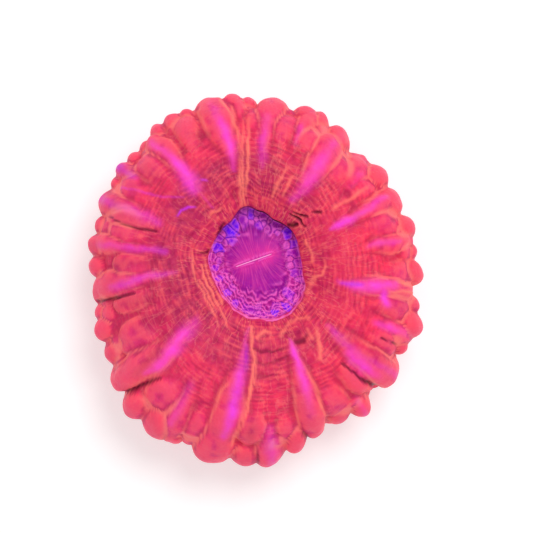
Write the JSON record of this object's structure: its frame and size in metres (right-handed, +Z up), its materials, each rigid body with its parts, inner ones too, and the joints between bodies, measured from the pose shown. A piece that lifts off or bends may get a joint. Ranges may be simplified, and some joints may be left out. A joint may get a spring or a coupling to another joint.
{
  "type": "cynarina coral",
  "caption": "Solitary inflated cynarina coral, pink-red flesh with magenta streaked lobes around a sunk violet oral disc, on a ribbed stony foot cut off flat.",
  "frame": {"origin": "centre of the flat cut under the stony foot", "axes": "+Z up away from the cut, +X to the right and +Y away from the viewer as the picture shows the coral from above"},
  "size_m": [0.0902, 0.1002, 0.0367],
  "materials": {
    "flesh": "wet, soft and slightly translucent coral flesh, pink-red with magenta streaks, wrinkled in fine rings",
    "limestone": "matt porous aragonite, cream, with ribs running down to the cut"
  },
  "bodies": {
    "root": {"polyp": "flesh", "stony_foot": "limestone"}
  },
  "joints": []
}
